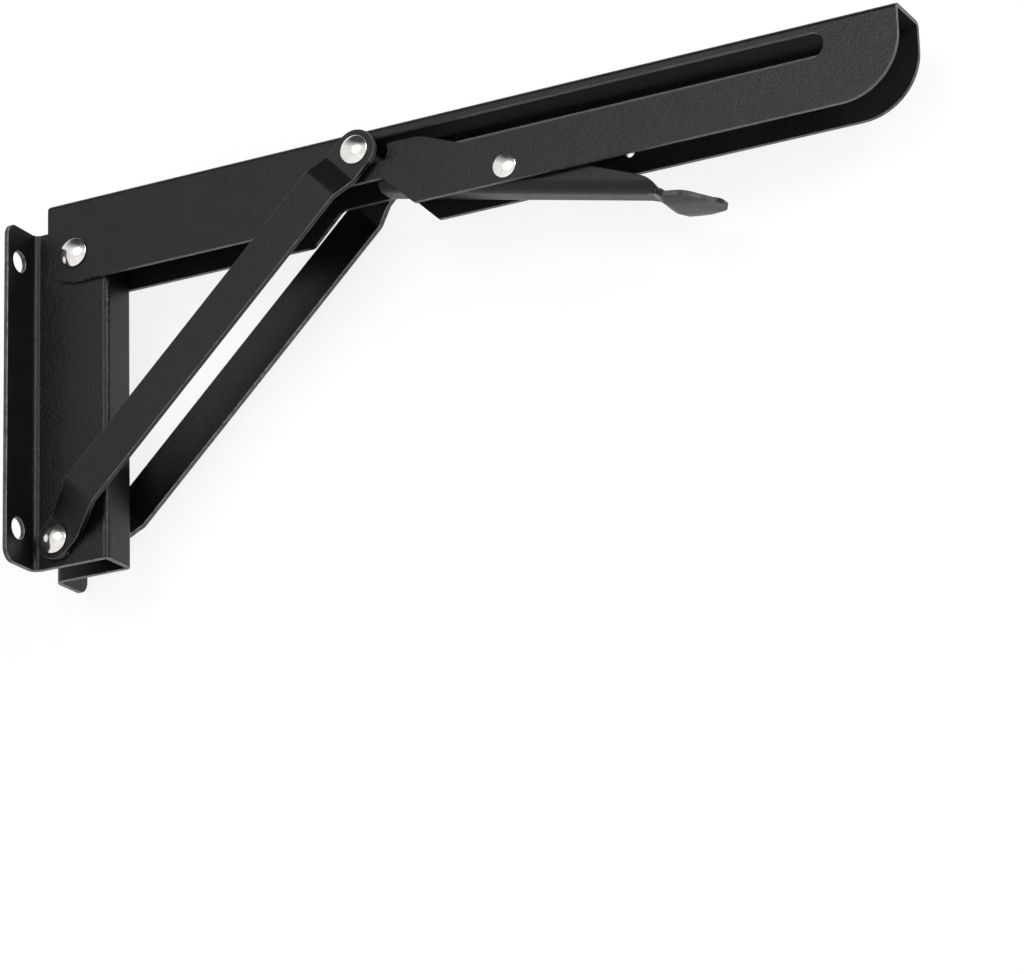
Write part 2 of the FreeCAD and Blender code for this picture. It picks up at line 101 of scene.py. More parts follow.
class NodeSketch:
    """A short hand for building one material's shader nodes."""

    def __init__(self, name: str) -> None:
        """Starts an empty node tree with its output.

        Args:
            name: the material's name.
        """
        self.material = bpy.data.materials.new(name)
        self.material.use_nodes = True
        self.start(self.material.node_tree, "ShaderNodeOutputMaterial")

    def start(self, tree: bpy.types.NodeTree, output: str) -> None:
        """Empties a node tree and gives it its output.

        Args:
            tree: the node tree.
            output: the output node's type.
        """
        self.tree = tree
        self.tree.nodes.clear()
        self.output = self.tree.nodes.new(output)

    @classmethod
    def on_tree(cls, tree: bpy.types.NodeTree, output: str) -> "NodeSketch":
        """Sketches on a node tree that exists, such as the surround's.

        Args:
            tree: the node tree.
            output: the output node's type.

        Returns:
            The sketch.
        """
        sketch = cls.__new__(cls)
        sketch.start(tree, output)
        return sketch

    def constant(self, value: float) -> bpy.types.NodeSocket:
        """Adds a fixed value."""
        node = self.add("ShaderNodeValue")
        node.outputs["Value"].default_value = value
        return node.outputs["Value"]

    def add(self, kind: str, **settings: object) -> bpy.types.Node:
        """Adds a node and sets its properties.

        Args:
            kind: the node's type.
            settings: its properties by name.

        Returns:
            The new node.
        """
        node = self.tree.nodes.new(kind)
        for key, value in settings.items():
            setattr(node, key, value)
        return node

    def join(self, start: bpy.types.NodeSocket, end: bpy.types.NodeSocket) -> None:
        """Links two sockets."""
        self.tree.links.new(start, end)

    def calculate(
        self, operation: str, first: bpy.types.NodeSocket, second: bpy.types.NodeSocket | float
    ) -> bpy.types.NodeSocket:
        """Adds one sum.

        Args:
            operation: the Math node's operation.
            first: its first value.
            second: its second value, a socket or a number.

        Returns:
            The result.
        """
        node = self.add("ShaderNodeMath", operation=operation)
        self.join(first, node.inputs[0])
        if isinstance(second, bpy.types.NodeSocket):
            self.join(second, node.inputs[1])
        else:
            node.inputs[1].default_value = second
        return node.outputs["Value"]

    def seen_or_mirrored(self) -> bpy.types.NodeSocket:
        """Gives 1 where the camera sees a surface, straight or in a mirror or through glass, or else 0."""
        path = self.add("ShaderNodeLightPath")
        seen = self.calculate("MAXIMUM", path.outputs["Is Camera Ray"], path.outputs["Is Glossy Ray"])
        return self.calculate("MAXIMUM", seen, path.outputs["Is Transmission Ray"])

    def mixed(
        self, factor: bpy.types.NodeSocket, first: bpy.types.NodeSocket, second: bpy.types.NodeSocket
    ) -> bpy.types.NodeSocket:
        """Mixes two shaders.

        Args:
            factor: 0 gives the first shader and 1 the second.
            first: the first shader.
            second: the second shader.

        Returns:
            The mixed shader.
        """
        node = self.add("ShaderNodeMixShader")
        self.join(factor, node.inputs["Fac"])
        self.join(first, node.inputs[1])
        self.join(second, node.inputs[2])
        return node.outputs["Shader"]

    def marked(self, name: str) -> bpy.types.NodeSocket:
        """Reads a mesh attribute, which is 0 where the mesh has none.

        Args:
            name: the attribute's name.

        Returns:
            Its value.
        """
        return self.add("ShaderNodeAttribute", attribute_name=name).outputs["Fac"]

    def noise(self, scale: float, detail: float, roughness: float = 0.5) -> bpy.types.NodeSocket:
        """Adds a noise texture on Object coordinates.

        Args:
            scale: how fine the noise is.
            detail: how many layers it has.
            roughness: how strong the finer layers are.

        Returns:
            The noise's factor.
        """
        place = self.add("ShaderNodeTexCoord")
        texture = self.add("ShaderNodeTexNoise")
        texture.inputs["Scale"].default_value = scale
        texture.inputs["Detail"].default_value = detail
        texture.inputs["Roughness"].default_value = roughness
        self.join(place.outputs["Object"], texture.inputs["Vector"])
        return texture.outputs["Fac"]

    def spread(
        self, value: bpy.types.NodeSocket, low: float, high: float, start: float = 0.3, end: float = 0.7
    ) -> bpy.types.NodeSocket:
        """Maps a factor to a range of values.

        Args:
            value: the factor.
            low: the value at start.
            high: the value at end.
            start: the factor that gives low.
            end: the factor that gives high.

        Returns:
            The mapped value.
        """
        node = self.add("ShaderNodeMapRange")
        node.inputs["From Min"].default_value = start
        node.inputs["From Max"].default_value = end
        node.inputs["To Min"].default_value = low
        node.inputs["To Max"].default_value = high
        self.join(value, node.inputs["Value"])
        return node.outputs["Result"]

    def blend(
        self,
        factor: bpy.types.NodeSocket,
        first: tuple[float, ...] | bpy.types.NodeSocket,
        second: tuple[float, ...],
    ) -> bpy.types.NodeSocket:
        """Mixes two colours by a factor.

        Args:
            factor: 0 gives the first colour and 1 the second.
            first: the first colour, plain or from another node.
            second: the second colour.

        Returns:
            The mixed colour.
        """
        node = self.add("ShaderNodeMix", data_type="RGBA")
        colours = [socket for socket in node.inputs if socket.type == "RGBA"]
        if isinstance(first, bpy.types.NodeSocket):
            self.join(first, colours[0])
        else:
            colours[0].default_value = (*first, 1.0)
        colours[1].default_value = (*second, 1.0)
        self.join(factor, node.inputs[0])
        return [socket for socket in node.outputs if socket.type == "RGBA"][0]

    def bump(
        self,
        height: bpy.types.NodeSocket,
        strength: float,
        depth: float,
        below: bpy.types.NodeSocket | None = None,
    ) -> bpy.types.NodeSocket:
        """Turns a height into a normal.

        Args:
            height: the height, from 0 to 1.
            strength: how much of it shows.
            depth: the height's real depth in metres.
            below: a coarser bump that this one lies on.

        Returns:
            The normal.
        """
        node = self.add("ShaderNodeBump")
        node.inputs["Strength"].default_value = strength
        node.inputs["Distance"].default_value = depth
        self.join(height, node.inputs["Height"])
        if below is not None:
            self.join(below, node.inputs["Normal"])
        return node.outputs["Normal"]


@dataclass(frozen=True)
class PowderCoat:
    """Black powder coat: a satin skin with a fine grain and a soft orange peel, thin and matt in recesses,
    with a painted highlight in a lighter colour along its cut edges.
    """

    name: str = "black_powder_coat"
    deep: tuple[float, float, float] = (0.0016, 0.0016, 0.0018)
    light: tuple[float, float, float] = (0.0036, 0.0035, 0.0038)
    # Painted edge highlight: the lighter colour that the rounded cut edges take
    edge_highlight: tuple[float, float, float] = (0.170, 0.170, 0.174)
    smoothest: float = 0.30
    roughest: float = 0.42
    specular: float = 0.30
    grain_scale: float = 1300.0
    grain_depth: float = 0.00024
    grain_strength: float = 0.55
    peel_scale: float = 240.0
    peel_depth: float = 0.00010
    peel_strength: float = 0.5
    cloud_scale: float = 90.0
    recess_extra: float = 0.50
    # How fine the noise is that breaks up the painted edge highlight
    edge_highlight_scale: float = 420.0

    def make(self) -> bpy.types.Material:
        """Builds the material."""
        sketch = NodeSketch(self.name)
        shader = sketch.add("ShaderNodeBsdfPrincipled")
        grain = sketch.noise(self.grain_scale, 3.0, 0.6)
        peel = sketch.noise(self.peel_scale, 2.0)
        cloud = sketch.noise(self.cloud_scale, 3.0)
        colour = sketch.blend(sketch.spread(cloud, 0.0, 1.0), self.deep, self.light)
        # Painted highlight on the cut edges: a lighter colour where the cut edge attribute is set, broken up
        # by noise
        edge_highlight_breakup = sketch.spread(sketch.noise(self.edge_highlight_scale, 3.0, 0.6), 0.35, 1.0, 0.35, 0.60)
        edge_highlight_mask = sketch.calculate("MULTIPLY", sketch.marked(EDGE), edge_highlight_breakup)
        sketch.join(sketch.blend(edge_highlight_mask, colour, self.edge_highlight), shader.inputs["Base Color"])
        matt = sketch.calculate("MULTIPLY", sketch.marked(RECESS), self.recess_extra)
        skin = sketch.spread(grain, self.smoothest, self.roughest)
        sketch.join(sketch.calculate("ADD", skin, matt), shader.inputs["Roughness"])
        coarse = sketch.bump(peel, self.peel_strength, self.peel_depth)
        fine = sketch.bump(grain, self.grain_strength, self.grain_depth, coarse)
        sketch.join(fine, shader.inputs["Normal"])
        shader.inputs["Specular IOR Level"].default_value = self.specular
        sketch.join(shader.outputs["BSDF"], sketch.output.inputs["Surface"])
        return sketch.material


@dataclass(frozen=True)
class Nickel:
    """Bright nickel plate with faint tumbling marks."""

    name: str = "bright_nickel"
    bright: tuple[float, float, float] = (0.90, 0.88, 0.85)
    dull: tuple[float, float, float] = (0.76, 0.74, 0.71)
    smoothest: float = 0.08
    roughest: float = 0.22
    mark_scale: float = 700.0
    dent_scale: float = 260.0
    dent_depth: float = 0.00012
    dent_strength: float = 0.35

    def make(self) -> bpy.types.Material:
        """Builds the material."""
        sketch = NodeSketch(self.name)
        shader = sketch.add("ShaderNodeBsdfPrincipled")
        marks = sketch.noise(self.mark_scale, 4.0, 0.6)
        dents = sketch.noise(self.dent_scale, 1.0)
        colour = sketch.blend(sketch.spread(marks, 0.0, 1.0), self.dull, self.bright)
        sketch.join(colour, shader.inputs["Base Color"])
        sketch.join(sketch.spread(marks, self.smoothest, self.roughest), shader.inputs["Roughness"])
        sketch.join(sketch.bump(dents, self.dent_strength, self.dent_depth), shader.inputs["Normal"])
        shader.inputs["Metallic"].default_value = 1.0
        sketch.join(shader.outputs["BSDF"], sketch.output.inputs["Surface"])
        return sketch.material


@dataclass(frozen=True)
class SpringWire:
    """Drawn steel spring wire, with fine marks along it."""

    name: str = "drawn_spring_wire"
    bright: tuple[float, float, float] = (0.46, 0.45, 0.44)
    dull: tuple[float, float, float] = (0.28, 0.27, 0.27)
    smoothest: float = 0.25
    roughest: float = 0.42
    mark_scale: float = 2400.0
    mark_depth: float = 0.00002
    mark_strength: float = 0.3

    def make(self) -> bpy.types.Material:
        """Builds the material."""
        sketch = NodeSketch(self.name)
        shader = sketch.add("ShaderNodeBsdfPrincipled")
        marks = sketch.noise(self.mark_scale, 3.0, 0.7)
        colour = sketch.blend(sketch.spread(marks, 0.0, 1.0), self.dull, self.bright)
        sketch.join(colour, shader.inputs["Base Color"])
        sketch.join(sketch.spread(marks, self.smoothest, self.roughest), shader.inputs["Roughness"])
        sketch.join(sketch.bump(marks, self.mark_strength, self.mark_depth), shader.inputs["Normal"])
        shader.inputs["Metallic"].default_value = 1.0
        sketch.join(shader.outputs["BSDF"], sketch.output.inputs["Surface"])
        return sketch.material


@dataclass(frozen=True)
class Nylon:
    """Moulded black nylon with a fine eroded texture."""

    name: str = "moulded_nylon"
    deep: tuple[float, float, float] = (0.012, 0.012, 0.013)
    light: tuple[float, float, float] = (0.022, 0.022, 0.023)
    smoothest: float = 0.42
    roughest: float = 0.60
    texture_scale: float = 1800.0
    texture_depth: float = 0.00003
    texture_strength: float = 0.3

    def make(self) -> bpy.types.Material:
        """Builds the material."""
        sketch = NodeSketch(self.name)
        shader = sketch.add("ShaderNodeBsdfPrincipled")
        texture = sketch.noise(self.texture_scale, 2.0)
        colour = sketch.blend(sketch.spread(texture, 0.0, 1.0), self.deep, self.light)
        sketch.join(colour, shader.inputs["Base Color"])
        sketch.join(sketch.spread(texture, self.smoothest, self.roughest), shader.inputs["Roughness"])
        sketch.join(sketch.bump(texture, self.texture_strength, self.texture_depth), shader.inputs["Normal"])
        sketch.join(shader.outputs["BSDF"], sketch.output.inputs["Surface"])
        return sketch.material


@dataclass(frozen=True)
class PaleBoard:
    """White studio board: paper that keeps soft shadows, and that nothing sees from behind."""

    name: str = "pale_board"
    white: tuple[float, float, float] = (0.92, 0.92, 0.93)
    whiter: tuple[float, float, float] = (0.94, 0.94, 0.95)
    share_of_white: float = 0.84
    paper_scale: float = 3.0

    def make(self) -> bpy.types.Material:
        """Builds the material."""
        sketch = NodeSketch(self.name)
        paper = sketch.add("ShaderNodeBsdfDiffuse")
        colour = sketch.blend(sketch.noise(self.paper_scale, 2.0), self.white, self.whiter)
        sketch.join(colour, paper.inputs["Color"])
        white = sketch.add("ShaderNodeEmission")
        seen = sketch.calculate("MULTIPLY", sketch.seen_or_mirrored(), self.share_of_white)
        lit = sketch.mixed(seen, paper.outputs["BSDF"], white.outputs["Emission"])
        behind = sketch.add("ShaderNodeNewGeometry")
        clear = sketch.add("ShaderNodeBsdfTransparent")
        shown = sketch.mixed(behind.outputs["Backfacing"], lit, clear.outputs["BSDF"])
        sketch.join(shown, sketch.output.inputs["Surface"])
        return sketch.material


@dataclass(frozen=True)
class Finishes:
    """The bracket's materials, each made once."""

    paint: bpy.types.Material
    nickel: bpy.types.Material
    wire: bpy.types.Material
    nylon: bpy.types.Material
    board: bpy.types.Material

    @staticmethod
    def make() -> "Finishes":
        """Builds every finish."""
        return Finishes(
            paint=PowderCoat().make(),
            nickel=Nickel().make(),
            wire=SpringWire().make(),
            nylon=Nylon().make(),
            board=PaleBoard().make(),
        )


# Shared mesh work


def place_mesh(name: str, mesh: bpy.types.Mesh, material: bpy.types.Material) -> bpy.types.Object:
    """Puts a mesh in the scene as a piece with one material.

    Args:
        name: the piece's name.
        mesh: its mesh, in the row's frame.
        material: its finish.

    Returns:
        The new object, at the origin.
    """
    mesh.materials.clear()
    mesh.materials.append(material)
    piece = bpy.data.objects.new(name, mesh)
    bpy.context.scene.collection.objects.link(piece)
    return piece


def baked(holder: bpy.types.Object, name: str) -> bpy.types.Mesh:
    """Turns an object with live modifiers into a plain mesh and removes the object.

    Args:
        holder: the object.
        name: the mesh's name.

    Returns:
        The plain mesh.
    """
    depsgraph = bpy.context.evaluated_depsgraph_get()
    mesh = bpy.data.meshes.new_from_object(holder.evaluated_get(depsgraph), depsgraph=depsgraph)
    mesh.name = name
    bpy.data.objects.remove(holder, do_unlink=True)
    return mesh


@dataclass
class SheetPiece:
    """A folded and painted sheet, whose cut edges are softened by the paint."""

    name: str
    node: str
    body: str
    slot: str
    steel: float = 0.0
    edge_radius: float = 0.34 * MM
    cut_width: float = 1.5 * MM
    # How much of the painted edge highlight a flat cut face between rounded edges takes
    cut_share: float = 0.35
    least_along: float = 0.3
    sharp_from: float = math.radians(35)
    flat_within: float = math.radians(0.5)
    same_point: float = 0.002 * MM
    slack: float = 0.02 * MM

    def merged(self) -> bpy.types.Mesh:
        """Copies the CAD node's mesh with its flat areas as single faces.

        Returns:
            The merged mesh.
        """
        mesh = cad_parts[self.node].data.copy()
        mesh.name = self.name
        work = bmesh.new()
        work.from_mesh(mesh)
        bmesh.ops.remove_doubles(work, verts=work.verts, dist=self.same_point)
        bmesh.ops.dissolve_limit(
            work,
            angle_limit=self.flat_within,
            use_dissolve_boundaries=False,
            verts=work.verts,
            edges=work.edges,
            delimit=set(),
        )
        work.to_mesh(mesh)
        work.free()
        mesh.shade_smooth()
        return mesh

    def make(self, material: bpy.types.Material) -> bpy.types.Object:
        """Builds the piece, with its cut edges rounded.

        Args:
            material: its finish.

        Returns:
            The finished piece, riding on its body.
        """
        holder = place_mesh(self.name + "_rough", self.merged(), material)
        holder.data.materials.append(material)
        bevel = holder.modifiers.new("edges", "BEVEL")
        bevel.material = 1
        bevel.width = self.edge_radius
        bevel.segments = EDGE_SEGMENTS
        bevel.limit_method = "ANGLE"
        bevel.angle_limit = self.sharp_from
        bevel.use_clamp_overlap = True
        flat = holder.modifiers.new("flat_areas", "WEIGHTED_NORMAL")
        flat.keep_sharp = True
        flat.weight = 100
        mesh = baked(holder, self.name)
        self.mark_edges(mesh)
        if self.steel:
            self.mark_recess(mesh)
        piece = place_mesh(self.name, mesh, material)
        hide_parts(self.node)
        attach(piece, self.body)
        LOG.info("%s: %d faces, rides on %s", self.name, len(mesh.polygons), self.body)
        return piece

    def mark_edges(self, mesh: bpy.types.Mesh) -> None:
        """Marks the rounded edges, which the bevel gave the second material, and the cut faces between them,
        for the paint's painted edge highlight.

        A cut face is narrower than the sheet's steel, and rounded edges run along its long sides.

        Args:
            mesh: the finished mesh.
        """
        rounded = [face.material_index == 1 for face in mesh.polygons]
        beside_rounded = {key for face in mesh.polygons if rounded[face.index] for key in face.edge_keys}
        marks = mesh.attributes.new(EDGE, "FLOAT", "FACE")
        for face in mesh.polygons:
            face.material_index = 0
            if rounded[face.index]:
                marks.data[face.index].value = 1.0
                continue
            lengths = {
                key: (mesh.vertices[key[0]].co - mesh.vertices[key[1]].co).length for key in face.edge_keys
            }
            around = sum(lengths.values())
            along = sum(length for key, length in lengths.items() if key in beside_rounded)
            narrow = 2 * face.area < self.cut_width * around
            if narrow and along > self.least_along * around:
                marks.data[face.index].value = self.cut_share

    def mark_recess(self, mesh: bpy.types.Mesh) -> None:
        """Marks the faces that lie inside the fold: between its flanges and under its web.

        Args:
            mesh: the finished mesh.
        """
        low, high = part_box(self.node)
        half_gap = (high[1] - low[1]) / 2 - self.steel + self.slack
        ceiling = high[2] - self.steel + self.slack
        marks = mesh.attributes.new(RECESS, "FLOAT", "FACE")
        for face in mesh.polygons:
            corners = [mesh.vertices[index].co for index in face.vertices]
            inside = all(abs(corner.y) < half_gap and corner.z < ceiling for corner in corners)
            marks.data[face.index].value = float(inside)


# Geometry Nodes for round wire, bars and rivet heads


class NodeRecipe:
    """A short hand for building one Geometry Nodes group."""

    def __init__(self, name: str) -> None:
        """Starts a group that takes and gives geometry.

        Args:
            name: the group's name.
        """
        self.tree = bpy.data.node_groups.new(name, "GeometryNodeTree")
        self.tree.interface.new_socket("Geometry", in_out="INPUT", socket_type="NodeSocketGeometry")
        self.tree.interface.new_socket("Geometry", in_out="OUTPUT", socket_type="NodeSocketGeometry")
        self.taken = self.tree.nodes.new("NodeGroupInput")
        self.given = self.tree.nodes.new("NodeGroupOutput")

    def input(self, name: str, kind: str) -> bpy.types.NodeSocket:
        """Adds a named input.

        Args:
            name: its name.
            kind: its socket type.

        Returns:
            The socket that gives its value.
        """
        self.tree.interface.new_socket(name, in_out="INPUT", socket_type=kind)
        return self.taken.outputs[name]

    def add(self, kind: str, inputs: dict[str, object] | None = None, **settings: object) -> bpy.types.Node:
        """Adds a node, sets its properties and fills its inputs.

        Args:
            kind: the node's type.
            inputs: sockets or plain values by input name.
            settings: its properties by name.

        Returns:
            The new node.
        """
        node = self.tree.nodes.new(kind)
        for key, value in settings.items():
            setattr(node, key, value)
        for key, value in (inputs or {}).items():
            self.feed(node.inputs[key], value)
        return node

    def feed(self, socket: bpy.types.NodeSocket, value: object) -> None:
        """Links a socket to an input, or gives the input a plain value."""
        if isinstance(value, bpy.types.NodeSocket):
            self.tree.links.new(value, socket)
        else:
            socket.default_value = value

    def calculate(self, operation: str, first: object, second: object = 0.0) -> bpy.types.NodeSocket:
        """Adds one sum.

        Args:
            operation: the Math node's operation.
            first: a socket or a number.
            second: a socket or a number.

        Returns:
            The result.
        """
        node = self.add("ShaderNodeMath", operation=operation)
        self.feed(node.inputs[0], first)
        self.feed(node.inputs[1], second)
        return node.outputs[0]

    def finish(
        self, geometry: bpy.types.NodeSocket, material: bpy.types.NodeSocket
    ) -> bpy.types.GeometryNodeTree:
        """Makes the result real and smooth, gives it its finish and sends it out.

        Args:
            geometry: the result.
            material: its finish.

        Returns:
            The group.
        """
        real = self.add("GeometryNodeRealizeInstances", {"Geometry": geometry})
        smooth = self.add("GeometryNodeSetShadeSmooth", {"Geometry": real.outputs["Geometry"]})
        painted = self.add(
            "GeometryNodeSetMaterial", {"Geometry": smooth.outputs["Geometry"], "Material": material}
        )
        self.tree.links.new(painted.outputs["Geometry"], self.given.inputs["Geometry"])
        return self.tree


def round_bar_group() -> bpy.types.GeometryNodeTree:
    """Builds the group that lays a round bar or wire along a path of edges, with filleted corners."""
    recipe = NodeRecipe("round_bar")
    radius = recipe.input("Radius", "NodeSocketFloat")
    corner = recipe.input("Corner Radius", "NodeSocketFloat")
    sides = recipe.input("Sides", "NodeSocketInt")
    step = recipe.input("Step", "NodeSocketFloat")
    material = recipe.input("Material", "NodeSocketMaterial")
    path = recipe.add("GeometryNodeMeshToCurve", {"Mesh": recipe.taken.outputs["Geometry"]})
    eased = recipe.add(
        "GeometryNodeFilletCurve",
        {"Curve": path.outputs["Curve"], "Radius": corner, "Limit Radius": True, "Count": BEND_POINTS},
        mode="POLY",
    )
    even = recipe.add(
        "GeometryNodeResampleCurve", {"Curve": eased.outputs["Curve"], "Length": step}, mode="LENGTH"
    )
    circle = recipe.add("GeometryNodeCurvePrimitiveCircle", {"Radius": radius, "Resolution": sides})
    tube = recipe.add(
        "GeometryNodeCurveToMesh",
        {"Curve": even.outputs["Curve"], "Profile Curve": circle.outputs["Curve"], "Fill Caps": True},
    )
    return recipe.finish(tube.outputs["Mesh"], material)


def rivet_group() -> bpy.types.GeometryNodeTree:
    """Builds the group that sets domed heads on marked points and a shank between the points.

    A head is a cylinder whose top follows a circle's rise: the height at a distance r from the axis is
    rim + sqrt(S^2 - r^2) - (S - h), where h is the dome's own height and S = (R^2 + h^2) / 2h.
    """
    recipe = NodeRecipe("domed_rivet")
    head_radius = recipe.input("Head Radius", "NodeSocketFloat")
    head_height = recipe.input("Head Height", "NodeSocketFloat")
    rim_share = recipe.input("Rim Share", "NodeSocketFloat")
    shank_radius = recipe.input("Shank Radius", "NodeSocketFloat")
    sides = recipe.input("Sides", "NodeSocketInt")
    rings = recipe.input("Rings", "NodeSocketInt")
    material = recipe.input("Material", "NodeSocketMaterial")

    blank = recipe.add(
        "GeometryNodeMeshCylinder",
        {
            "Vertices": sides,
            "Fill Segments": rings,
            "Radius": head_radius,
            "Depth": head_height,
        },
        fill_type="TRIANGLE_FAN",
    )
    place = recipe.add("GeometryNodeInputPosition")
    parts = recipe.add("ShaderNodeSeparateXYZ", {"Vector": place.outputs["Position"]})
    rim = recipe.calculate("MULTIPLY", head_height, rim_share)
    dome = recipe.calculate("SUBTRACT", head_height, rim)
    radius_squared = recipe.calculate("POWER", head_radius, 2.0)
    dome_squared = recipe.calculate("POWER", dome, 2.0)
    sphere = recipe.calculate(
        "DIVIDE",
        recipe.calculate("ADD", radius_squared, dome_squared),
        recipe.calculate("MULTIPLY", dome, 2.0),
    )
    distance_squared = recipe.calculate(
        "ADD",
        recipe.calculate("POWER", parts.outputs["X"], 2.0),
        recipe.calculate("POWER", parts.outputs["Y"], 2.0),
    )
    rise = recipe.calculate(
        "SQRT", recipe.calculate("SUBTRACT", recipe.calculate("POWER", sphere, 2.0), distance_squared)
    )
    top = recipe.calculate(
        "ADD", rim, recipe.calculate("SUBTRACT", rise, recipe.calculate("SUBTRACT", sphere, dome))
    )
    is_top = recipe.calculate("GREATER_THAN", parts.outputs["Z"], 0.0)
    height = recipe.calculate("MULTIPLY", top, is_top)
    target = recipe.add(
        "ShaderNodeCombineXYZ", {"X": parts.outputs["X"], "Y": parts.outputs["Y"], "Z": height}
    )
    head = recipe.add(
        "GeometryNodeSetPosition", {"Geometry": blank.outputs["Mesh"], "Position": target.outputs["Vector"]}
    )

    marked = recipe.add("GeometryNodeInputNamedAttribute", {"Name": "carries_head"}, data_type="BOOLEAN")
    ends = recipe.add("ShaderNodeSeparateXYZ", {"Vector": place.outputs["Position"]})
    outward = recipe.add("ShaderNodeCombineXYZ", {"Y": recipe.calculate("SIGN", ends.outputs["Y"])})
    turned = recipe.add("FunctionNodeAlignRotationToVector", {"Vector": outward.outputs["Vector"]}, axis="Z")
    heads = recipe.add(
        "GeometryNodeInstanceOnPoints",
        {
            "Points": recipe.taken.outputs["Geometry"],
            "Selection": marked.outputs["Attribute"],
            "Instance": head.outputs["Geometry"],
            "Rotation": turned.outputs["Rotation"],
        },
    )

    axis = recipe.add("GeometryNodeMeshToCurve", {"Mesh": recipe.taken.outputs["Geometry"]})
    circle = recipe.add("GeometryNodeCurvePrimitiveCircle", {"Radius": shank_radius, "Resolution": sides})
    shank = recipe.add(
        "GeometryNodeCurveToMesh",
        {"Curve": axis.outputs["Curve"], "Profile Curve": circle.outputs["Curve"], "Fill Caps": True},
    )
    both = recipe.add("GeometryNodeJoinGeometry")
    recipe.tree.links.new(heads.outputs["Instances"], both.inputs["Geometry"])
    recipe.tree.links.new(shank.outputs["Mesh"], both.inputs["Geometry"])
    return recipe.finish(both.outputs["Geometry"], material)


def grown(
    name: str,
    path: list[Vector],
    group: bpy.types.GeometryNodeTree,
    values: dict[str, object],
    heads: list[bool] | None = None,
    edge_radius: float = 0.0,
) -> bpy.types.Mesh:
    """Runs a Geometry Nodes group on a path and keeps the result as a plain mesh.

    Args:
        name: the mesh's name.
        path: the points that the group works along.
        group: the group.
        values: the group's inputs by name.
        heads: which points carry a rivet head.
        edge_radius: how round the sharp edges become.

    Returns:
        The plain mesh.
    """
    line = bpy.data.meshes.new(name + "_path")
    line.from_pydata(path, [(index, index + 1) for index in range(len(path) - 1)], [])
    if heads is not None:
        marks = line.attributes.new("carries_head", "BOOLEAN", "POINT")
        for index, carries in enumerate(heads):
            marks.data[index].value = carries
    holder = bpy.data.objects.new(name + "_rough", line)
    bpy.context.scene.collection.objects.link(holder)
    modifier = holder.modifiers.new("grow", "NODES")
    modifier.node_group = group
    for item in group.interface.items_tree:
        if item.in_out == "INPUT" and item.name in values:
            modifier[item.identifier] = values[item.name]
    if edge_radius > 0:
        bevel = holder.modifiers.new("edges", "BEVEL")
        bevel.width = edge_radius
        bevel.segments = EDGE_SEGMENTS
        bevel.limit_method = "ANGLE"
        bevel.angle_limit = GROWN_SHARP_FROM
    return baked(holder, name)


@dataclass
class Rivet:
    """A domed rivet in the place of its CAD node, whose size and place come from the frame."""

    name: str
    node: str
    body: str
    head_height: float
    shank_radius: float
    heads: tuple[Side, ...] = (Side.NEAR, Side.FAR)
    rim_share: float = 0.30
    sides: int = 64
    rings: int = 10
    edge_radius: float = 0.16 * MM
    slot: str = "rivet_nickel"

    def path(self) -> list[Vector]:
        """Finds the shank's two ends, from the near side to the far one.

        Returns:
            The two ends.
        """
        low, high = (Vector(corner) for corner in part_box(self.node))
        middle = (low + high) / 2
        start = low.y + (self.head_height if Side.NEAR in self.heads else 0.0)
        end = high.y - (self.head_height if Side.FAR in self.heads else 0.0)
        return [Vector((middle.x, start, middle.z)), Vector((middle.x, end, middle.z))]

    def make(self, group: bpy.types.GeometryNodeTree, material: bpy.types.Material) -> bpy.types.Object:
        """Builds the rivet.

        Args:
            group: the rivet's Geometry Nodes group.
            material: its finish.

        Returns:
            The finished piece, riding on its body.
        """
        low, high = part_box(self.node)
        values = {
            "Head Radius": (high[0] - low[0]) / 2,
            "Head Height": self.head_height,
            "Rim Share": self.rim_share,
            "Shank Radius": self.shank_radius,
            "Sides": self.sides,
            "Rings": self.rings,
            "Material": material,
        }
        heads = [Side.NEAR in self.heads, Side.FAR in self.heads]
        mesh = grown(self.name, self.path(), group, values, heads, self.edge_radius)
        piece = place_mesh(self.name, mesh, material)
        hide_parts(self.node)
        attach(piece, self.body)
        LOG.info("%s: %d faces, rides on %s", self.name, len(mesh.polygons), self.body)
        return piece


